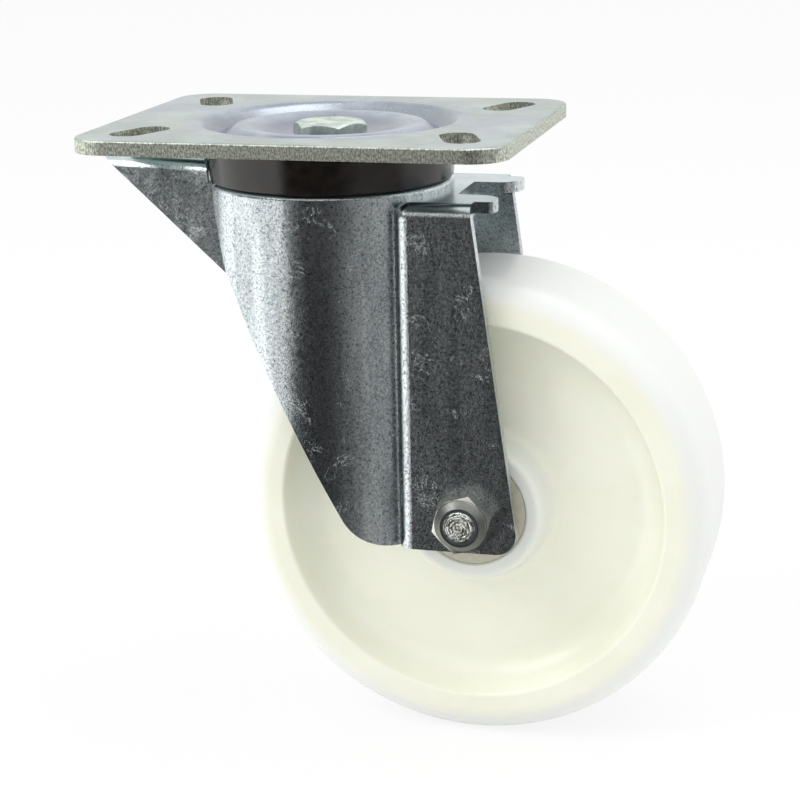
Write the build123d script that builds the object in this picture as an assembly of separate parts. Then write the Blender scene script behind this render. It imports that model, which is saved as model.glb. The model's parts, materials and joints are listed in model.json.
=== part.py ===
"""Swivel castor: slotted top plate, one-piece pressed fork on two ball rings, polyamide wheel.

Frame: the origin lies on the top plate's mounting face, where the king pin's axis meets it.
+Z is up, +X is the side to which the wheel trails, and the axle nut is on the -Y side.
All lengths are in millimetres.
"""

from build123d import *
import math
import os

# ---- Top plate ----------------------------------------------------------------------------
PLATE_LENGTH = 135.0
PLATE_WIDTH = 110.0
PLATE_THICKNESS = 4.5
PLATE_CORNER = 11.5
PLATE_DIE_ROLL = 0.7
BOLT_SPACING_X = 105.0
BOLT_SPACING_Y = 80.0
SLOT_WIDTH = 11.0
SLOT_TRAVEL = 11.2
SLOT_ANGLE = 69.0
DISH_MARGIN = 1.8
DISH_DEPTH = 3.8
DISH_SLOPE = 5.8
VALLEY_DEPTH = 4.2
RACE_INSET = 11.2
RIDGE_WIDTH = 4.0
RIDGE_DEPTH = 1.3
BOWL_RADIUS = 17.0
BOWL_DEPTH = 4.0

# ---- King pin and ball rings --------------------------------------------------------------
UPPER_BALL_RADIUS = 3.96875
UPPER_BALL_COUNT = 20
LOWER_BALL_RADIUS = 3.175
LOWER_BALL_COUNT = 16
LOWER_BALL_CIRCLE = 18.0
BALL_PLAY = 0.08
UPPER_GROOVE_DEPTH = 2.2
CROWN_GROOVE_DEPTH = 1.6
LOWER_GROOVE_DEPTH = 1.05
RACE_GROOVE_DEPTH = 1.05
KINGPIN_RADIUS = 8.0
KINGPIN_HEAD_FLATS = 21.1
KINGPIN_HEAD_RECESS = 0.8
KINGPIN_THREAD_RADIUS = 6.0
KINGPIN_NUT_FLATS = 19.0
KINGPIN_NUT_HEIGHT = 10.0
KINGPIN_POINT = 2.6
WASHER_THICKNESS = 2.0
WASHER_RADIUS = 11.5
RACE_THICKNESS = 3.2
RACE_RADIUS = 23.6
RACE_LIP = 1.9
FIT_PLAY = 0.05

# ---- Dust ring ----------------------------------------------------------------------------
DUST_RING_FLARE = 0.5
DUST_RING_SET_IN = 0.1
DUST_RING_WALL = 2.3
DUST_RING_TOP_GAP = 2.3

# ---- Fork ---------------------------------------------------------------------------------
SHEET = 3.5
SKIRT_RADIUS = 39.2
CROWN_BORE = 10.0
CROWN_SHOULDER_DROP = 18.2
CROWN_LAND_DROP = 14.5
CROWN_SHOULDER_ROUND = 1.4
SHELF_DROP = 21.0
CHEEK_GAP = 55.5
BEND_RADIUS = 4.5
CREASE_ANGLE = 44.5
CHEEK_START = 29.5
JOGGLE_ROUND = 5.0
WHEEL_OFFSET = 50.0
AXLE_DROP = 120.0
CHEEK_FOOT = 11.0
CHEEK_REAR = 15.5
CHEEK_REAR_LEAN = 0.1356
CHEEK_FRONT_LEAN = 0.495
CHEEK_FRONT_KNEE = (-25.5, -45.5)
NOSE_LEAN = 0.709
FOOT_FRONT_ROUND = 18.0
FOOT_REAR_ROUND = 6.5
NOSE_REACH = 74.0
NOSE_TOP_DROP = 11.5
NOSE_TIP_HALF = 11.4
NOSE_TAPER = 11.5
NOSE_FLARE = 13.2
NOSE_ROUND = 4.0
NOSE_RING_GAP = 0.6
NOTCH_START = 44.0
NOTCH_HALF = 11.6
TAB_TIP = 58.3
TAB_OUTER = 23.5
TAB_INNER_ROUND = 7.0
TAB_OUTER_ROUND = 2.5

# ---- Axle and bearings --------------------------------------------------------------------
BOLT_RADIUS = 5.0
BOLT_HEAD_FLATS = 17.0
BOLT_HEAD_HEIGHT = 6.4
BOLT_STAND_OUT = 9.2
NUT_FLATS = 17.0
NUT_HEX_HEIGHT = 6.3
NUT_COLLAR_HEIGHT = 2.3
NUT_COLLAR_RADIUS = 8.2
NUT_TURN = 16.0
INSERT_RADIUS = 5.9
INSERT_DEPTH = 2.6
SLEEVE_RADIUS = 7.5
SPACER_RADIUS = 10.0
BEARING_WIDTH = 11.0
BEARING_OUTER_RADIUS = 17.5
BEARING_PITCH_RADIUS = 12.5
BEARING_BALL_RADIUS = 3.0
BEARING_BALL_COUNT = 8
INNER_RING_RADIUS = 10.6
OUTER_RING_BORE = 14.4
CAGE_WALL = 1.8
CAGE_RAIL = 0.8
SEAL_THICKNESS = 1.4
SEAL_RECESS = 0.5

# ---- Wheel --------------------------------------------------------------------------------
WHEEL_RADIUS = 75.0
WHEEL_WIDTH = 50.0
TREAD_ROUND = 8.5
RIM_INNER_RADIUS = 61.5
WEB_OUTER_RADIUS = 57.5
WEB_THICKNESS = 26.0
HUB_LENGTH = 47.0
HUB_RADIUS = 22.2
HUB_ROOT_RADIUS = 25.0
HUB_BORE_RADIUS = 13.2

# ---- Places worked out from the sizes above -----------------------------------------------
dish_radius = SKIRT_RADIUS + DISH_MARGIN
valley_radius = dish_radius - DISH_SLOPE
ridge_radius = SKIRT_RADIUS - RACE_INSET
ring_top_radius = SKIRT_RADIUS + DUST_RING_FLARE
ring_bottom_radius = SKIRT_RADIUS - DUST_RING_SET_IN
upper_ball_z = -RIDGE_DEPTH - PLATE_THICKNESS - UPPER_BALL_RADIUS - BALL_PLAY
plate_under_z = upper_ball_z + UPPER_BALL_RADIUS + BALL_PLAY - UPPER_GROOVE_DEPTH
crown_race_z = upper_ball_z - UPPER_BALL_RADIUS - BALL_PLAY + CROWN_GROOVE_DEPTH
crown_under_z = -CROWN_LAND_DROP - SHEET
lower_ball_z = crown_under_z + LOWER_GROOVE_DEPTH - LOWER_BALL_RADIUS - BALL_PLAY
race_top_z = lower_ball_z - LOWER_BALL_RADIUS - BALL_PLAY + RACE_GROOVE_DEPTH
race_under_z = race_top_z - RACE_THICKNESS
washer_under_z = race_under_z - WASHER_THICKNESS
nut_under_z = washer_under_z - KINGPIN_NUT_HEIGHT
kingpin_end_z = nut_under_z - KINGPIN_POINT
shoulder_z = -CROWN_SHOULDER_DROP
shelf_z = -SHELF_DROP
shelf_under_z = shelf_z - SHEET
foot_z = -AXLE_DROP - CHEEK_FOOT
cheek_inner = CHEEK_GAP / 2
cheek_outer = cheek_inner + SHEET
skirt_inner = SKIRT_RADIUS - SHEET
axle_place = (WHEEL_OFFSET, 0, -AXLE_DROP)
beyond = 100.0


def turned(*corners):
    """A solid of revolution about Z from (radius, height, corner rounding) triples."""
    places = [(radius, 0, height) for radius, height, _ in corners]
    outline = FilletPolyline(*places, radius=[corner[2] for corner in corners], close=True)
    return revolve(make_face(outline), Axis.Z)


def tube(outer, inner, low, high):
    """A plain tube about Z between two heights."""
    return turned((inner, low, 0), (outer, low, 0), (outer, high, 0), (inner, high, 0))


def disc(radius, low, high):
    """A plain cylinder about Z between two heights."""
    return Pos(0, 0, (low + high) / 2) * Cylinder(radius, high - low)


def hexagon(flats, low, high, turn=0.0):
    """A hexagonal prism about Z, with a corner on +X when it isn't turned."""
    return Pos(0, 0, low) * Rot(0, 0, turn) * extrude(RegularPolygon(flats / math.sqrt(3), 6), high - low)


def on_axle(shape):
    """Moves a shape made about Z at the origin onto the axle, with its +Z end at the -Y side."""
    return Pos(*axle_place) * Rot(90, 0, 0) * shape


def ball_ring(count, circle, radius, height):
    """Balls evenly spaced on a circle about Z, as one group of separate solids."""
    balls = [
        Rot(0, 0, 360 * number / count) * Pos(circle, 0, height) * Sphere(radius)
        for number in range(count)
    ]
    return Compound(children=balls)


# ---- Top plate ----------------------------------------------------------------------------
def make_top_plate():
    """Pressed plate: flat rim with diagonal slots, valley, raised race ridge and pin bowl."""
    blank = extrude(RectangleRounded(PLATE_LENGTH, PLATE_WIDTH, PLATE_CORNER), -PLATE_THICKNESS)
    blank = fillet(blank.faces().sort_by(Axis.Z)[-1].edges(), PLATE_DIE_ROLL)
    dish_edge = dish_radius + 4.0
    hole = KINGPIN_RADIUS + FIT_PLAY
    ridge_in = ridge_radius - RIDGE_WIDTH / 2
    ridge_out = ridge_radius + RIDGE_WIDTH / 2
    dish = turned(
        (hole, -BOWL_DEPTH, 0),
        (BOWL_RADIUS, -BOWL_DEPTH, 4.0),
        (ridge_in, -RIDGE_DEPTH, 3.0),
        (ridge_out, -RIDGE_DEPTH, 2.5),
        (valley_radius - 1.2, -VALLEY_DEPTH, 2.5),
        (valley_radius + 1.2, -VALLEY_DEPTH, 2.5),
        (dish_radius, 0, 4.0),
        (dish_edge, 0, 0),
        (dish_edge, -PLATE_THICKNESS, 0),
        (dish_radius + 0.5, -PLATE_THICKNESS, 2.0),
        (valley_radius + 2.0, plate_under_z, 2.0),
        (hole, plate_under_z, 0),
    )
    plate = blank - disc(dish_edge, -PLATE_THICKNESS - 1, 1) + dish
    plate -= Pos(0, 0, upper_ball_z) * Torus(ridge_radius, UPPER_BALL_RADIUS + BALL_PLAY)
    slot = extrude(SlotCenterToCenter(SLOT_TRAVEL, SLOT_WIDTH), 3 * PLATE_THICKNESS, both=True)
    turn = math.radians(SLOT_ANGLE)
    slot_x = BOLT_SPACING_X / 2 - SLOT_TRAVEL / 2 * math.cos(turn)
    slot_y = BOLT_SPACING_Y / 2 - SLOT_TRAVEL / 2 * math.sin(turn)
    for side_x in (-1, 1):
        for side_y in (-1, 1):
            lean = side_x * side_y * SLOT_ANGLE
            plate -= Pos(side_x * slot_x, side_y * slot_y, 0) * Rot(0, 0, lean) * slot
    return plate


# ---- King pin group -----------------------------------------------------------------------
def make_kingpin():
    """Hexagon head in the plate's bowl, plain shank, and a threaded end with a point."""
    head_top = -KINGPIN_HEAD_RECESS
    corner = KINGPIN_HEAD_FLATS / math.sqrt(3)
    head = hexagon(KINGPIN_HEAD_FLATS, -BOWL_DEPTH, head_top)
    head &= turned(
        (0, -BOWL_DEPTH, 0),
        (corner + 0.1, -BOWL_DEPTH, 0),
        (corner + 0.1, head_top - 1.1, 0),
        (KINGPIN_HEAD_FLATS / 2 - 0.2, head_top, 0),
        (0, head_top, 0),
    )
    shank = disc(KINGPIN_RADIUS, race_top_z, -BOWL_DEPTH)
    thread = turned(
        (0, race_top_z, 0),
        (KINGPIN_THREAD_RADIUS, race_top_z, 0),
        (KINGPIN_THREAD_RADIUS, kingpin_end_z + 1.2, 0),
        (KINGPIN_THREAD_RADIUS - 1.2, kingpin_end_z, 0),
        (0, kingpin_end_z, 0),
    )
    return head + shank + thread


def make_lower_race():
    """Pressed cup below the crown, with the groove for the lower balls."""
    hole = KINGPIN_THREAD_RADIUS + FIT_PLAY
    bulge_z = race_under_z - 1.4
    cup = turned(
        (hole, race_top_z, 0),
        (LOWER_BALL_CIRCLE + 2.8, race_top_z, 0),
        (LOWER_BALL_CIRCLE + 3.8, race_top_z + RACE_LIP, 0.5),
        (RACE_RADIUS, race_top_z + RACE_LIP, 0.8),
        (RACE_RADIUS, race_top_z - 1.2, 1.5),
        (LOWER_BALL_CIRCLE + 3.6, bulge_z, 2.0),
        (LOWER_BALL_CIRCLE - 4.0, bulge_z, 0.8),
        (WASHER_RADIUS + 1.2, race_under_z, 0.5),
        (hole, race_under_z, 0),
    )
    return cup - Pos(0, 0, lower_ball_z) * Torus(LOWER_BALL_CIRCLE, LOWER_BALL_RADIUS + BALL_PLAY)


def make_kingpin_washer():
    """Plain washer under the lower race."""
    return tube(WASHER_RADIUS, KINGPIN_THREAD_RADIUS + 0.3, washer_under_z, race_under_z)


def make_kingpin_nut():
    """Hexagon nut with both faces chamfered."""
    corner = KINGPIN_NUT_FLATS / math.sqrt(3)
    flat = KINGPIN_NUT_FLATS / 2
    nut = hexagon(KINGPIN_NUT_FLATS, nut_under_z, washer_under_z)
    nut &= turned(
        (0, nut_under_z, 0),
        (flat - 0.2, nut_under_z, 0),
        (corner + 0.1, nut_under_z + 0.9, 0),
        (corner + 0.1, washer_under_z - 0.9, 0),
        (flat - 0.2, washer_under_z, 0),
        (0, washer_under_z, 0),
    )
    return nut - disc(KINGPIN_THREAD_RADIUS + 0.02, nut_under_z - 1, washer_under_z + 1)


# ---- Dust ring ----------------------------------------------------------------------------
def make_dust_ring():
    """Slightly flared plastic ring that stands on the crown's shoulder round the upper balls."""
    top = -PLATE_THICKNESS - DUST_RING_TOP_GAP
    return turned(
        (ring_bottom_radius - DUST_RING_WALL, shoulder_z, 0.3),
        (ring_bottom_radius - 0.9, shoulder_z, 0),
        (ring_bottom_radius, shoulder_z + 0.7, 0.4),
        (ring_top_radius, top, 0.2),
        (ring_top_radius - 0.5, top, 0.1),
        (ring_top_radius - DUST_RING_WALL, top - 1.8, 0.2),
    )


# ---- Fork ---------------------------------------------------------------------------------
def make_crown():
    """The fork's round head: bore, both ball grooves, and the shoulder under the dust ring."""
    land_z = -CROWN_LAND_DROP
    groove_edge = UPPER_BALL_RADIUS + 0.2
    overlap_z = shelf_z - 1.5
    crown = turned(
        (CROWN_BORE, crown_under_z, 0.5),
        (CROWN_BORE, land_z, 0.5),
        (ridge_radius - groove_edge - 2.0, land_z, 1.5),
        (ridge_radius - groove_edge, crown_race_z, 1.0),
        (ridge_radius + groove_edge - 0.8, crown_race_z, 1.5),
        (skirt_inner + 0.6, shoulder_z, 1.2),
        (SKIRT_RADIUS, shoulder_z, CROWN_SHOULDER_ROUND),
        (SKIRT_RADIUS, overlap_z, 0),
        (skirt_inner, overlap_z, 0),
        (skirt_inner, shoulder_z - SHEET, 0.6),
        (skirt_inner - 2.2, shoulder_z - SHEET, 2.0),
        (skirt_inner - 4.8, crown_under_z, 2.0),
    )
    crown -= Pos(0, 0, upper_ball_z) * Torus(ridge_radius, UPPER_BALL_RADIUS + BALL_PLAY)
    return crown - Pos(0, 0, lower_ball_z) * Torus(LOWER_BALL_CIRCLE, LOWER_BALL_RADIUS + BALL_PLAY)


def leg_block(radius, half_width, start, corner_round, top, bend):
    """The block of both cheeks: flat sides, joggled in at the front to meet the round skirt."""
    angle = math.radians(CREASE_ANGLE)
    crease = Vector(radius * math.cos(angle), radius * math.sin(angle))
    corner = Vector(start, half_width)
    inside = crease + (crease - corner).normalized() * 8.0
    near = [(point.X, -point.Y) for point in (inside, corner)]
    far = [(point.X, point.Y) for point in (corner, inside)]
    outline = FilletPolyline(
        *near,
        (beyond, -half_width),
        (beyond, half_width),
        *far,
        radius=[0, corner_round, 0, 0, corner_round, 0],
        close=True,
    )
    low = foot_z - 5
    block = Pos(0, 0, low) * extrude(make_face(outline), top - low)
    roof = block.faces().sort_by(Axis.Z)[-1]
    bent = roof.edges().filter_by(lambda edge: abs((edge @ 0.5).Y) > half_width * 0.5)
    return fillet(bent, bend)


def nose_section(inset, x):
    """The nose's section at x: flared sides under a flat top, inset by a thickness when asked."""
    flare = math.tan(math.radians(NOSE_FLARE))
    taper = math.tan(math.radians(NOSE_TAPER))
    top = -NOSE_TOP_DROP - inset
    low = foot_z / 2
    side_inset = inset * math.sqrt(1 + flare * flare + taper * taper)
    top_half = NOSE_TIP_HALF + (x + NOSE_REACH) * taper - side_inset + inset * flare
    low_half = top_half + (top - low) * flare
    rounding = NOSE_ROUND - inset
    outline = FilletPolyline(
        (x, -low_half, low),
        (x, -top_half, top),
        (x, top_half, top),
        (x, low_half, low),
        radius=[0, rounding, rounding, 0],
        close=True,
    )
    return make_face(outline)


def nose_block(inset, front, rear):
    """The nose's block, which widens from its tip towards the skirt."""
    return loft([nose_section(inset, front), nose_section(inset, rear)], ruled=True)


def side_prism():
    """Everything inside the fork's side outline: nose edge, cheek edges and rounded foot."""
    knee_x, knee_z = CHEEK_FRONT_KNEE
    rear_x = WHEEL_OFFSET + CHEEK_REAR
    outline = FilletPolyline(
        (knee_x + knee_z / NOSE_LEAN, 0, 0),
        (knee_x, 0, knee_z),
        (knee_x + (knee_z - foot_z) * CHEEK_FRONT_LEAN, 0, foot_z),
        (rear_x + CHEEK_FOOT * CHEEK_REAR_LEAN, 0, foot_z),
        (rear_x - AXLE_DROP * CHEEK_REAR_LEAN, 0, 0),
        radius=[0, 3.0, FOOT_FRONT_ROUND, FOOT_REAR_ROUND, 0],
        close=True,
    )
    return extrude(make_face(outline), beyond, both=True)


def make_tab(side):
    """One of the two rounded tabs that stick out behind the shelf, one each side of the notch."""
    outline = FilletPolyline(
        (NOTCH_START - 4, side * NOTCH_HALF),
        (TAB_TIP, side * NOTCH_HALF),
        (TAB_TIP, side * TAB_OUTER),
        (NOTCH_START - 4, side * TAB_OUTER),
        radius=[0, TAB_INNER_ROUND, TAB_OUTER_ROUND, 0],
        close=True,
    )
    return Pos(0, 0, shelf_under_z) * extrude(make_face(outline), SHEET)


def make_fork():
    """One-piece pressed fork: crown, round skirt, flat cheeks, shelf with tabs, and nose."""
    outer_leg = leg_block(SKIRT_RADIUS, cheek_outer, CHEEK_START, JOGGLE_ROUND, shelf_z, BEND_RADIUS)
    inner_leg = leg_block(
        skirt_inner, cheek_inner, CHEEK_START + 2.0, JOGGLE_ROUND - 2.0, shelf_under_z, BEND_RADIUS - SHEET
    )
    low = foot_z - 5
    legs = disc(SKIRT_RADIUS, low, shelf_z - 1.0) + outer_leg
    nose_hollow = nose_block(SHEET, -NOSE_REACH - 1, -SKIRT_RADIUS / 2)
    legs -= disc(skirt_inner, low - 1, shelf_z + 1) + inner_leg
    legs -= nose_hollow & disc(beyond, low, shelf_z - 1.5)
    nose = nose_block(0, -NOSE_REACH, -SKIRT_RADIUS / 2) - nose_hollow
    nose -= disc(skirt_inner, low, 0)
    nose -= disc(SKIRT_RADIUS + NOSE_RING_GAP + 0.3, shoulder_z, 0)
    fork = (legs + nose) & side_prism()
    notch_length = beyond - NOTCH_START
    notch = Box(notch_length, 2 * NOTCH_HALF, 3 * SHEET)
    fork -= Pos(NOTCH_START + notch_length / 2, 0, shelf_z - SHEET / 2) * notch
    fork += make_crown()
    fork += make_tab(-1) + make_tab(1)
    hole = Pos(*axle_place) * Rot(90, 0, 0) * Cylinder(BOLT_RADIUS + 0.1, 3 * CHEEK_GAP)
    return fork - hole


# ---- Axle ---------------------------------------------------------------------------------
def make_axle_bolt():
    """Hexagon bolt from the far cheek, with a chamfered end that stands out of the nut."""
    head_low = -cheek_outer - BOLT_HEAD_HEIGHT
    corner = BOLT_HEAD_FLATS / math.sqrt(3)
    head = hexagon(BOLT_HEAD_FLATS, head_low, -cheek_outer)
    head &= turned(
        (0, -cheek_outer, 0),
        (corner + 0.1, -cheek_outer, 0),
        (corner + 0.1, head_low + 0.8, 0),
        (BOLT_HEAD_FLATS / 2 - 0.2, head_low, 0),
        (0, head_low, 0),
    )
    end = cheek_outer + BOLT_STAND_OUT
    shank = turned(
        (0, -cheek_outer, 0),
        (BOLT_RADIUS, -cheek_outer, 0),
        (BOLT_RADIUS, end - 1.0, 0),
        (BOLT_RADIUS - 1.0, end, 0),
        (0, end, 0),
    )
    return on_axle(head + shank)


def make_axle_nut():
    """Lock nut: hexagon with a rounded collar that holds the insert."""
    low = cheek_outer
    hex_top = low + NUT_HEX_HEIGHT
    top = hex_top + NUT_COLLAR_HEIGHT
    corner = NUT_FLATS / math.sqrt(3)
    flat = NUT_FLATS / 2
    nut = hexagon(NUT_FLATS, low, hex_top, NUT_TURN)
    nut &= turned(
        (0, low, 0),
        (flat - 0.2, low, 0),
        (corner + 0.1, low + 0.9, 0),
        (corner + 0.1, hex_top - 0.7, 0),
        (flat - 0.1, hex_top, 0),
        (0, hex_top, 0),
    )
    nut += turned(
        (0, hex_top - 0.5, 0),
        (NUT_COLLAR_RADIUS, hex_top - 0.5, 0),
        (NUT_COLLAR_RADIUS, hex_top + 0.4, 0.3),
        (INSERT_RADIUS + 0.3, top, 0.3),
        (0, top, 0),
    )
    nut -= disc(BOLT_RADIUS + 0.02, low - 1, top + 1)
    return on_axle(nut - disc(INSERT_RADIUS, top - INSERT_DEPTH, top + 1))


def make_nut_insert():
    """Plastic locking ring in the nut's collar."""
    top = cheek_outer + NUT_HEX_HEIGHT + NUT_COLLAR_HEIGHT
    return on_axle(tube(INSERT_RADIUS - 0.02, BOLT_RADIUS + 0.03, top - INSERT_DEPTH, top - 0.4))


def make_axle_sleeve():
    """Tube clamped between the cheeks, which carries both bearings."""
    return on_axle(tube(SLEEVE_RADIUS, BOLT_RADIUS + 0.1, -cheek_inner, cheek_inner))


def make_side_spacer(side):
    """Collar between a bearing's inner ring and the cheek."""
    inner_end = HUB_LENGTH / 2 - SEAL_RECESS - SEAL_THICKNESS - 0.1
    bore = SLEEVE_RADIUS + FIT_PLAY
    low, high = sorted((side * inner_end, side * cheek_inner))
    return on_axle(tube(SPACER_RADIUS, bore, low, high))


# ---- Bearings -----------------------------------------------------------------------------
bearing_end = HUB_LENGTH / 2 - SEAL_RECESS - SEAL_THICKNESS - 0.1
bearing_middle = bearing_end - BEARING_WIDTH / 2
bearing_groove = BEARING_BALL_RADIUS + BALL_PLAY


def bearing_track(side):
    """The torus that the balls of one bearing run in."""
    return Pos(0, 0, side * bearing_middle) * Torus(BEARING_PITCH_RADIUS, bearing_groove)


def bearing_ring(side, outer, inner):
    """One bearing ring with rounded corners and its ball groove."""
    low = side * bearing_middle - BEARING_WIDTH / 2
    high = low + BEARING_WIDTH
    blank = turned((inner, low, 0.5), (outer, low, 0.5), (outer, high, 0.5), (inner, high, 0.5))
    return on_axle(blank - bearing_track(side))


def make_bearing_cage(side):
    """Thin ring with a round pocket for each ball."""
    middle = side * bearing_middle
    half = bearing_groove + CAGE_RAIL
    inner = BEARING_PITCH_RADIUS - CAGE_WALL / 2
    cage = tube(inner + CAGE_WALL, inner, middle - half, middle + half)
    pocket = Rot(0, 90, 0) * Cylinder(bearing_groove, 3 * CAGE_WALL)
    for number in range(BEARING_BALL_COUNT):
        turn = Rot(0, 0, 360 * number / BEARING_BALL_COUNT)
        cage -= turn * Pos(BEARING_PITCH_RADIUS, 0, middle) * pocket
    return on_axle(cage)


def make_bearing_balls(side):
    """The balls of one bearing."""
    middle = side * bearing_middle
    return on_axle(ball_ring(BEARING_BALL_COUNT, BEARING_PITCH_RADIUS, BEARING_BALL_RADIUS, middle))


def make_bearing_spacer():
    """Tube between the two inner rings."""
    end = bearing_end - BEARING_WIDTH
    return on_axle(tube(SPACER_RADIUS, SLEEVE_RADIUS + FIT_PLAY, -end, end))


def make_hub_seal(side):
    """Flat dust seal pressed into the hub's mouth."""
    low, high = sorted((side * (bearing_end + 0.1), side * (bearing_end + 0.1 + SEAL_THICKNESS)))
    outer = BEARING_OUTER_RADIUS - 0.03
    inner = SPACER_RADIUS + 0.3
    return on_axle(turned((inner, low, 0.3), (outer, low, 0.3), (outer, high, 0.3), (inner, high, 0.3)))


# ---- Wheel --------------------------------------------------------------------------------
def make_wheel():
    """Cast wheel: bored hub, dished web and a rim with a rounded tread."""
    half = WHEEL_WIDTH / 2
    hub = HUB_LENGTH / 2
    web = WEB_THICKNESS / 2
    seat = bearing_end - BEARING_WIDTH
    one_side = [
        (HUB_BORE_RADIUS, seat, 0),
        (BEARING_OUTER_RADIUS, seat, 0),
        (BEARING_OUTER_RADIUS, hub, 0.8),
        (HUB_RADIUS, hub, 2.2),
        (HUB_ROOT_RADIUS, web + 0.5, 4.0),
        (WEB_OUTER_RADIUS, web, 9.0),
        (RIM_INNER_RADIUS, half, 1.2),
        (WHEEL_RADIUS, half, TREAD_ROUND),
    ]
    other_side = [(radius, -height, rounding) for radius, height, rounding in reversed(one_side)]
    return on_axle(turned(*one_side, *other_side))


pieces = {
    "top_plate": make_top_plate(),
    "kingpin": make_kingpin(),
    "lower_race": make_lower_race(),
    "kingpin_washer": make_kingpin_washer(),
    "kingpin_nut": make_kingpin_nut(),
    "dust_ring": make_dust_ring(),
    "upper_balls": ball_ring(UPPER_BALL_COUNT, ridge_radius, UPPER_BALL_RADIUS, upper_ball_z),
    "lower_balls": ball_ring(LOWER_BALL_COUNT, LOWER_BALL_CIRCLE, LOWER_BALL_RADIUS, lower_ball_z),
    "fork": make_fork(),
    "axle_bolt": make_axle_bolt(),
    "axle_nut": make_axle_nut(),
    "nut_insert": make_nut_insert(),
    "axle_sleeve": make_axle_sleeve(),
    "bearing_spacer": make_bearing_spacer(),
    "wheel": make_wheel(),
}
for end_name, end_side in (("near", 1), ("far", -1)):
    pieces[f"side_spacer_{end_name}"] = make_side_spacer(end_side)
    pieces[f"bearing_inner_{end_name}"] = bearing_ring(end_side, INNER_RING_RADIUS, SLEEVE_RADIUS + FIT_PLAY)
    pieces[f"bearing_outer_{end_name}"] = bearing_ring(
        end_side, BEARING_OUTER_RADIUS - 0.03, OUTER_RING_BORE
    )
    pieces[f"bearing_balls_{end_name}"] = make_bearing_balls(end_side)
    pieces[f"bearing_cage_{end_name}"] = make_bearing_cage(end_side)
    pieces[f"hub_seal_{end_name}"] = make_hub_seal(end_side)

os.makedirs("parts", exist_ok=True)
for name, piece in pieces.items():
    export_step(piece, f"parts/{name}.step")
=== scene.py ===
import json
import math

import bpy
from mathutils import Matrix, Vector


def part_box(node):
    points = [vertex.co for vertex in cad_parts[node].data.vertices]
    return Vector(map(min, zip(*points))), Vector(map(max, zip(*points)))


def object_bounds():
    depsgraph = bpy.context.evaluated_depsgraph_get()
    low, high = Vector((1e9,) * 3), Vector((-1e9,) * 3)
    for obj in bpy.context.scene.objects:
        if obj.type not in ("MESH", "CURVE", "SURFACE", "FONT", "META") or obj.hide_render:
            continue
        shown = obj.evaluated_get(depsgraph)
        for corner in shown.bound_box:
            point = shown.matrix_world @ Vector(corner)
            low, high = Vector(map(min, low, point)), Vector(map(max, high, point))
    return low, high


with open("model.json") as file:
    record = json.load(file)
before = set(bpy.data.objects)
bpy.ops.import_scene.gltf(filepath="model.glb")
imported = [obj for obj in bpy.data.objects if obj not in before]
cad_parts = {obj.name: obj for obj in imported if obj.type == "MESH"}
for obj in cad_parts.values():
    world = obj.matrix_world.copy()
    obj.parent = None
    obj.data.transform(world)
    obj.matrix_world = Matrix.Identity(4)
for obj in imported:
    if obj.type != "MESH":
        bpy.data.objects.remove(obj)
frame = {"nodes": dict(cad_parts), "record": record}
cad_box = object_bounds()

nodes = frame["nodes"]
MM = 0.001
TURNING_MARKS = 5200  # radians a metre, faint lathe marks on the wheel
BOLT_RINGS = 6300  # radians a metre, rings on the bolt's end
NUT_COLLAR = 2.1 * MM  # how far the nut's rolled collar stands past its flats


# ---- Shader arithmetic --------------------------------------------------------------------
class Value:
    """A shader socket that takes part in Python arithmetic, adding its Math nodes as it goes."""

    def __init__(self, finish, socket):
        self.finish = finish
        self.socket = socket

    def _math(self, operation, *values):
        return self.finish.add("Math", {"operation": operation}, dict(enumerate(values)))

    def __add__(self, other):
        return self._math("ADD", self, other)

    def __radd__(self, other):
        return self._math("ADD", other, self)

    def __sub__(self, other):
        return self._math("SUBTRACT", self, other)

    def __rsub__(self, other):
        return self._math("SUBTRACT", other, self)

    def __mul__(self, other):
        return self._math("MULTIPLY", self, other)

    def __rmul__(self, other):
        return self._math("MULTIPLY", other, self)

    def __pow__(self, other):
        return self._math("POWER", self, other)

    def __neg__(self):
        return self._math("MULTIPLY", self, -1.0)

    def __abs__(self):
        return self._math("ABSOLUTE", self)

    def most(self, other):
        return self._math("MAXIMUM", self, other)

    def step(self, low, high):
        """0 below low, 1 above high, smooth between; the other way round if low is above high."""
        settings = {"interpolation_type": "SMOOTHSTEP"}
        if low > high:
            return 1 - self.step(high, low)
        return self.finish.add("MapRange", settings, {"Value": self, "From Min": low, "From Max": high})


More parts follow.
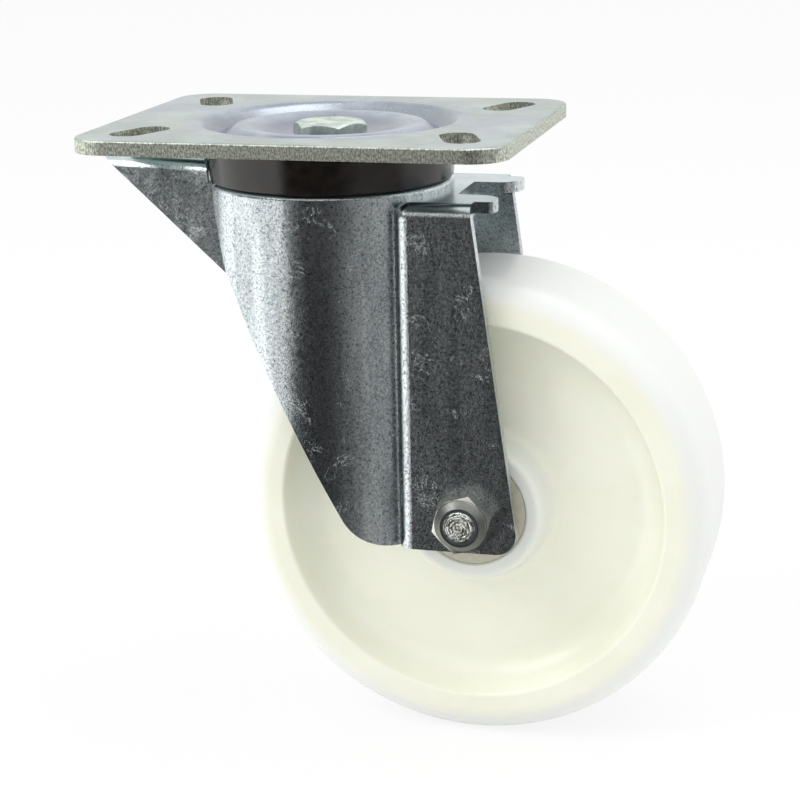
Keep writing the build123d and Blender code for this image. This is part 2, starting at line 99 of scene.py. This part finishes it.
class Finish:
    """One material under construction. Places are in metres, in the part's own frame."""

    @classmethod
    def on_tree(cls, tree, output_kind):
        """Starts on any node tree, such as the world's, with only its output."""
        made = cls.__new__(cls)
        made.tree = tree
        tree.nodes.clear()
        made.output = tree.nodes.new(output_kind)
        return made

    def __init__(self, name):
        self.material = bpy.data.materials.new(name)
        self.material.use_nodes = True
        self.tree = self.material.node_tree
        self.tree.nodes.clear()
        self.output = self.tree.nodes.new("ShaderNodeOutputMaterial")
        self.place = self.add("TexCoord", {}, {}, "Object")
        self.x, self.y, self.z = self.split(self.place)
        self.nz = self.split(self.add("TexCoord", {}, {}, "Normal"))[2]

    def add(self, kind, settings, inputs, output=0):
        """Adds one node: its settings first, then its sockets' values or links."""
        node = self.tree.nodes.new("ShaderNode" + kind)
        for key, value in settings.items():
            setattr(node, key, value)
        for key, value in inputs.items():
            if isinstance(value, Value):
                self.tree.links.new(value.socket, node.inputs[key])
            else:
                node.inputs[key].default_value = value
        return Value(self, node.outputs[output])

    def split(self, vector):
        """The x, y and z of a vector, each from one node of its own kind."""
        return [self.add("SeparateXYZ", {}, {0: vector}, axis) for axis in range(3)]

    def stretched(self, x=1.0, y=1.0, z=1.0):
        """The place with each axis scaled, for streaks."""
        return self.add("VectorMath", {"operation": "MULTIPLY"}, {0: self.place, 1: (x, y, z)})

    def noise(self, size, detail=3.0, rough=0.55, at=None, swirl=0.0):
        """Noise from about 0 to 1, whose features are about size metres across."""
        inputs = {
            "Vector": at or self.place,
            "Scale": 1.0 / size,
            "Detail": detail,
            "Roughness": rough,
            "Distortion": swirl,
        }
        return self.add("TexNoise", {}, inputs, "Fac")

    def blend(self, share, first, second):
        """The first colour, going to the second as share goes from 0 to 1."""
        settings = {"data_type": "RGBA", "blend_type": "MIX"}
        return self.add("Mix", settings, {0: share, 6: colour_input(first), 7: colour_input(second)}, 2)

    def bump(self, height, distance, strength=1.0):
        return self.add("Bump", {}, {"Strength": strength, "Distance": distance, "Height": height})

    def surface(self, **inputs):
        """The shader itself; names use _ for a space."""
        named = {key.replace("_", " "): value for key, value in inputs.items()}
        shader = self.add("BsdfPrincipled", {}, named)
        self.tree.links.new(shader.socket, self.output.inputs["Surface"])
        return self.material


def colour_input(colour):
    """A linked colour as it is, or three or four numbers as an opaque colour."""
    return colour if isinstance(colour, Value) else (*colour[:3], 1)


def tone(red, green, blue):
    """A linear colour from a display colour of 0 to 255 a channel."""
    def linear(channel):
        share = channel / 255
        return share / 12.92 if share <= 0.04045 else ((share + 0.055) / 1.055) ** 2.4
    return (linear(red), linear(green), linear(blue), 1.0)


def about_axle(finish):
    """Distance from the wheel's axis."""
    axle = (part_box("wheel")[0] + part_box("wheel")[1]) / 2
    along = finish.x - axle.x
    down = finish.z - axle.z
    return (along * along + down * down) ** 0.5


# ---- Finishes -----------------------------------------------------------------------------
def zinc_plate():
    """Zinc plated sheet of the top plate: satin cloudy top, painted shade in the dish, gritty sheared edges."""
    f = Finish("zinc_plate")
    cloud = f.noise(0.022, 3, 0.6)
    tint = f.noise(0.035, 2, 0.5, swirl=0.6)
    fine = f.noise(0.0009, 2, 0.65)
    grit = f.noise(0.00035, 2, 0.7)
    flat = abs(f.nz).step(0.55, 0.8)
    radius = (f.x * f.x + f.y * f.y) ** 0.5
    # Painted shade: the pressed dish gets a bluer, greyer colour of its own.
    dish_shade_share = radius.step(0.048, 0.038)
    top = f.blend(cloud.step(0.35, 0.7), tone(150, 164, 160), tone(186, 198, 193))
    top = f.blend(tint.step(0.5, 0.7) * 0.5, top, tone(168, 172, 196))
    top = f.blend(tint.step(0.48, 0.3) * 0.25, top, tone(182, 188, 172))
    dish_painted_shade = f.blend(cloud.step(0.3, 0.7), tone(146, 152, 172), tone(184, 190, 204))
    top = f.blend(dish_shade_share * 0.75, top, dish_painted_shade)
    # Painted shade: the dish's valley and its inner bowl are darkened towards a grey-violet.
    valley = radius.step(0.0300, 0.0335) * radius.step(0.0415, 0.0375)
    bowl = radius.step(0.0255, 0.0195)
    shade = valley.most(bowl) * cloud.step(0.2, 0.6)
    top = f.blend(shade * 0.55, top, tone(104, 104, 120))
    top = f.blend(fine.step(0.52, 0.72) * 0.3, top, tone(112, 122, 122))
    spot = f.noise(0.0024, 1, 0.4).step(0.26, 0.22)
    top = f.blend(spot * 0.7, top, tone(70, 74, 72))
    streak = f.noise(0.0005, 2, 0.7, at=f.stretched(1, 1, 0.5))
    edge = f.blend(streak.step(0.34, 0.64), tone(140, 144, 132), tone(226, 229, 216))
    colour = f.blend(flat, edge, top)
    rough = 0.22 + cloud * 0.12 + (1 - flat) * 0.2
    height = fine * 0.3 + grit * 0.3 + (1 - flat) * streak * 0.8
    return f.surface(Base_Color=colour, Metallic=1.0, Roughness=rough, Normal=f.bump(height, 0.00004, 0.6))


def zinc_fork():
    """Zinc plated pressing: smooth pale shelf, drawn walls scuffed into a fine dark grain."""
    f = Finish("zinc_fork")
    cloud = f.noise(0.02, 3, 0.6)
    drawn = f.noise(0.009, 3, 0.6, at=f.stretched(1, 1, 0.14))
    grain = f.noise(0.0009, 3, 0.8)
    grit = f.noise(0.00038, 2, 0.75)
    radius = (f.x * f.x + f.y * f.y) ** 0.5
    outside = radius.step(0.0370, 0.0385).most(abs(f.y).step(0.0290, 0.0305))
    wall = abs(f.nz).step(0.75, 0.45) * outside
    smooth = f.blend(cloud.step(0.3, 0.7), tone(178, 192, 196), tone(206, 218, 220))
    dark = f.blend(drawn.step(0.35, 0.65), tone(182, 190, 193), tone(220, 227, 228))
    mix = grain * 0.5 + grit * 0.5
    scuffed = f.blend(mix.step(0.52, 0.60) * 0.6, dark, tone(240, 245, 245))
    pits = mix.step(0.47, 0.42)
    scuffed = f.blend(pits * 0.75, scuffed, tone(64, 67, 69))
    thread = f.noise(0.009, 4, 0.7, swirl=1.5)
    scratch = (1 - abs(thread - 0.5).step(0.0, 0.006)) * f.noise(0.012, 1, 0.5).step(0.56, 0.62)
    scuffed = f.blend(scratch * 0.7, scuffed, tone(214, 220, 222))
    colour = f.blend(wall, smooth, scuffed)
    rough = 0.17 + (1 - outside) * 0.31 + grain * 0.1
    height = (mix * 1.6 + scratch * 0.6) * (0.12 + wall) + cloud * 0.3
    return f.surface(Base_Color=colour, Metallic=1.0, Roughness=rough, Normal=f.bump(height, 0.00007, 0.7))


def zinc_hardware(name, pale, dark, roughness):
    """Zinc plated turned or forged hardware."""
    f = Finish(name)
    cloud = f.noise(0.006, 3, 0.6)
    grit = f.noise(0.0008, 2, 0.7)
    colour = f.blend(cloud.step(0.35, 0.65), dark, pale)
    colour = f.blend(grit.step(0.55, 0.7) * 0.4, colour, dark)
    return f.surface(
        Base_Color=colour, Metallic=1.0, Roughness=roughness + cloud * 0.15, Normal=f.bump(grit, 0.00004, 0.6)
    )


def zinc_nut():
    """The lock nut: bright flats, and a darker rolled collar round its insert."""
    f = Finish("zinc_nut")
    cloud = f.noise(0.006, 3, 0.6)
    grit = f.noise(0.0008, 2, 0.7)
    hex_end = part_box("axle_nut")[0].y + NUT_COLLAR
    collar = f.y.step(hex_end, hex_end - 0.3 * MM)
    colour = f.blend(cloud.step(0.35, 0.65), tone(176, 180, 176), tone(216, 218, 210))
    colour = f.blend(collar * 0.85, colour, tone(104, 106, 102))
    colour = f.blend(grit.step(0.55, 0.7) * 0.3, colour, tone(80, 82, 80))
    rough = 0.2 + cloud * 0.12 + collar * 0.12
    return f.surface(Base_Color=colour, Metallic=1.0, Roughness=rough, Normal=f.bump(grit, 0.00004, 0.6))


def bolt_steel():
    """The axle bolt: its end face is hammered rough and bright, with turned rings; its hollows hold painted shade."""
    f = Finish("bolt_steel")
    radius = about_axle(f)
    lumps = f.noise(0.0022, 3, 0.7, swirl=1.2)
    rings = f.add("Math", {"operation": "SINE"}, {0: radius * BOLT_RINGS})
    # Painted shade: the end face is darker where its lumps are low.
    hollow_painted_shade = lumps.step(0.48, 0.40)
    colour = f.blend(hollow_painted_shade, tone(226, 228, 220), tone(112, 112, 106))
    height = lumps * 4 + rings * 0.5
    return f.surface(Base_Color=colour, Metallic=1.0, Roughness=0.2 + lumps * 0.15, Normal=f.bump(height, 0.00018, 0.8))


def polished_steel(name, colour, roughness):
    """Ground and polished bearing steel."""
    f = Finish(name)
    haze = f.noise(0.002, 2, 0.5)
    shade = f.blend(haze.step(0.3, 0.7), colour, [channel * 0.88 for channel in colour[:3]])
    return f.surface(Base_Color=shade, Metallic=1.0, Roughness=roughness + haze * 0.08)


def glossy_plastic():
    """Glossy near-black moulding."""
    f = Finish("glossy_plastic")
    haze = f.noise(0.004, 3, 0.6)
    colour = f.blend(haze.step(0.3, 0.7), tone(20, 17, 14), tone(34, 28, 24))
    return f.surface(
        Base_Color=colour, Metallic=0.0, Roughness=0.12 + haze * 0.12, Normal=f.bump(haze, 0.0001, 0.3)
    )


def dull_plastic(name, colour, roughness):
    """Plain moulded plastic."""
    f = Finish(name)
    haze = f.noise(0.002, 3, 0.6)
    shade = f.blend(haze.step(0.3, 0.7), colour, [channel * 0.86 for channel in colour[:3]])
    return f.surface(
        Base_Color=shade, Metallic=0.0, Roughness=roughness + haze * 0.1, Normal=f.bump(haze, 0.00005, 0.4)
    )


def polyamide():
    """Cast polyamide: cream web, whiter rim and hub, satin skin with faint turning marks."""
    f = Finish("polyamide")
    radius = about_axle(f)
    cloud = f.noise(0.03, 3, 0.6)
    rim = radius.step(0.0665, 0.0715)
    hub = radius.step(0.0265, 0.0235)
    web = f.blend(cloud.step(0.3, 0.7), tone(241, 242, 224), tone(245, 246, 231))
    colour = f.blend(rim, web, tone(241, 243, 240))
    colour = f.blend(hub, colour, tone(232, 234, 228))
    rings = f.add("Math", {"operation": "SINE"}, {0: radius * TURNING_MARKS})
    skin = f.noise(0.0012, 2, 0.6)
    height = skin + rings * 0.05
    return f.surface(
        Base_Color=colour,
        Metallic=0.0,
        Roughness=0.36 + cloud * 0.1,
        Subsurface_Weight=0.12,
        Subsurface_Scale=0.004,
        Coat_Weight=0.15,
        Normal=f.bump(height, 0.00003, 0.4),
    )


finishes = {
    "plate_zinc": zinc_plate(),
    "fork_zinc": zinc_fork(),
    "pin_zinc": zinc_hardware("zinc_pin", tone(222, 232, 220), tone(172, 184, 174), 0.3),
    "bolt_zinc": zinc_nut(),
    "ball_steel": polished_steel("bearing_steel", tone(190, 192, 194), 0.12),
    "cage_steel": polished_steel("cage_steel", tone(150, 150, 148), 0.3),
    "spacer_steel": polished_steel("spacer_steel", tone(160, 162, 162), 0.3),
    "ring_plastic": glossy_plastic(),
    "insert_plastic": dull_plastic("insert_plastic", tone(62, 66, 74), 0.45),
    "polyamide": polyamide(),
    "seal_plastic": dull_plastic("seal_plastic", tone(208, 204, 184), 0.4),
}
for subpart in frame["record"]["subparts"]:
    shown = nodes[subpart["node"]].data
    shown.materials.clear()
    shown.materials.append(finishes[subpart["material_slot"]])
nodes["axle_bolt"].data.materials[0] = bolt_steel()


# ---- Floor, light and camera --------------------------------------------------------------
def make_floor():
    """A wide pale floor under the wheel."""
    floor_z = cad_box[0].z
    mesh = bpy.data.meshes.new("floor")
    reach = 4.0
    signs = [(-1, -1), (1, -1), (1, 1), (-1, 1)]
    corners = [(reach * across, reach * back, floor_z) for across, back in signs]
    mesh.from_pydata(corners, [], [(0, 1, 2, 3)])
    floor = bpy.data.objects.new("floor", mesh)
    bpy.context.scene.collection.objects.link(floor)
    f = Finish("pale_floor")
    white = f.add("Emission", {}, {"Color": (1, 1, 1, 1), "Strength": 1.0})
    matt = f.add("BsdfDiffuse", {}, {"Color": (0.9, 0.9, 0.9, 1)})
    camera = f.add("LightPath", {}, {}, "Is Camera Ray")
    mixed = f.add("MixShader", {}, {0: camera * 0.85, 1: matt, 2: white})
    f.tree.links.new(mixed.socket, f.output.inputs["Surface"])
    mesh.materials.append(f.material)
    floor.visible_glossy = False


def make_world():
    """White surroundings; steel reflects them white behind and to the left, and dimmer in front."""
    world = bpy.data.worlds.new("studio")
    bpy.context.scene.world = world
    world.use_nodes = True
    room = Finish.on_tree(world.node_tree, "ShaderNodeOutputWorld")
    x, y, z = room.split(room.add("TexCoord", {}, {}, "Generated"))
    seen = room.add("LightPath", {}, {}, "Is Camera Ray")
    mirrored = room.add("LightPath", {}, {}, "Is Glossy Ray")
    behind = y.step(-0.30, 0.10)
    left_table = (-x).step(0.42, 0.55) * z.step(0.04, -0.08) * 1.5
    right = x.step(0.30, 0.75) * 0.35
    overhead = z.step(0.22, 0.55) * 1.1
    studio = 0.05 + 0.95 * behind.most(left_table).most(right).most(overhead)
    strength = seen + (1 - seen) * (mirrored * studio + (1 - mirrored) * 0.85)
    sky = room.add("Background", {}, {"Color": (1, 1, 1, 1), "Strength": strength})
    room.tree.links.new(sky.socket, room.output.inputs["Surface"])


def make_lamp(name, place, target, size, power):
    """One square soft lamp aimed at a point of the part."""
    data = bpy.data.lights.new(name, "AREA")
    data.shape = "SQUARE"
    data.size = size
    data.energy = power
    lamp = bpy.data.objects.new(name, data)
    bpy.context.scene.collection.objects.link(lamp)
    lamp.location = place
    aim = Vector(target) - Vector(place)
    lamp.rotation_euler = aim.to_track_quat("-Z", "Y").to_euler()


def make_camera():
    """The camera, turned about the vertical, tipped down and rolled a little."""
    yaw, pitch, roll = math.radians(15.28), math.radians(15.59), math.radians(-1.12)
    ahead = Vector((-math.sin(yaw) * math.cos(pitch), math.cos(yaw) * math.cos(pitch), -math.sin(pitch)))
    right = Vector((math.cos(yaw), math.sin(yaw), 0))
    up = right.cross(ahead)
    rolled_right = math.cos(roll) * right + math.sin(roll) * up
    rolled_up = -math.sin(roll) * right + math.cos(roll) * up
    data = bpy.data.cameras.new("camera")
    data.sensor_width = 36.0
    data.lens = 94.95
    data.clip_start = 0.01
    data.clip_end = 20.0
    camera = bpy.data.objects.new("camera", data)
    bpy.context.scene.collection.objects.link(camera)
    turn = Matrix((rolled_right, rolled_up, -ahead)).transposed()
    camera.matrix_world = Matrix.Translation((0.1955, -0.6381, 0.0932)) @ turn.to_4x4()
    bpy.context.scene.camera = camera


make_floor()
make_world()
MIDDLE = (0.02, 0, -0.08)
make_lamp("key_lamp", (-0.9, -0.7, 0.9), MIDDLE, 0.7, 7.0)
make_lamp("top_lamp", (0.4, 0.1, 1.2), MIDDLE, 0.9, 5.0)
make_camera()
bpy.context.scene.view_settings.view_transform = "Standard"
